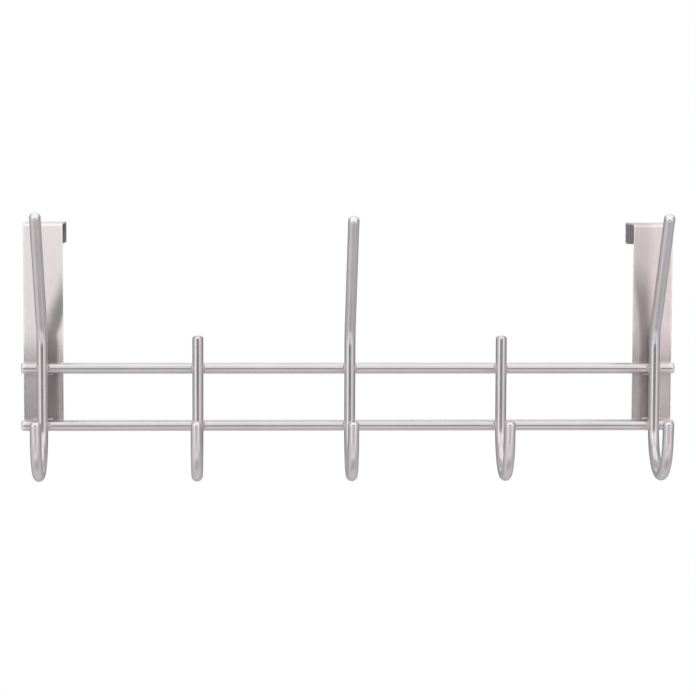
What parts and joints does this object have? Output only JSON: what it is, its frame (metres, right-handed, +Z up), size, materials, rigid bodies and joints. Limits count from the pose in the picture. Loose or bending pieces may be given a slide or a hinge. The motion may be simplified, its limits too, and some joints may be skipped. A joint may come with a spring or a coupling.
{
  "type": "over-the-door hook rack",
  "caption": "Over-the-door rack of satin nickel steel: two strap hangers carry two cross rods with tall and short double-ended wire hooks.",
  "frame": {"origin": "midway between the two hangers, where the top edge of the door meets its front face", "axes": "+X to the right as seen from the room, -Y out from the door into the room, +Z up"},
  "size_m": [0.422, 0.1085, 0.1702],
  "materials": {
    "strap": "satin nickel plate on flat sheet steel, fine lengthwise grain",
    "wire": "satin nickel plate on round steel wire, fine lengthwise grain",
    "weld": "nickel plate over a slightly rough weld bead"
  },
  "bodies": {
    "root": {"hanger_left": "strap", "hanger_right": "strap", "upper_rod": "wire", "lower_rod": "wire", "hook_tall_left": "wire", "hook_short_left": "wire", "hook_tall_centre": "wire", "hook_short_right": "wire", "hook_tall_right": "wire", "bead_upper_left": "weld", "bead_lower_left": "weld", "bead_upper_right": "weld", "bead_lower_right": "weld", "weld_tall_left_upper": "weld", "weld_tall_left_lower": "weld", "weld_short_left_upper": "weld", "weld_short_left_lower": "weld", "weld_tall_centre_upper": "weld", "weld_tall_centre_lower": "weld", "weld_short_right_upper": "weld", "weld_short_right_lower": "weld", "weld_tall_right_upper": "weld", "weld_tall_right_lower": "weld"}
  },
  "joints": []
}
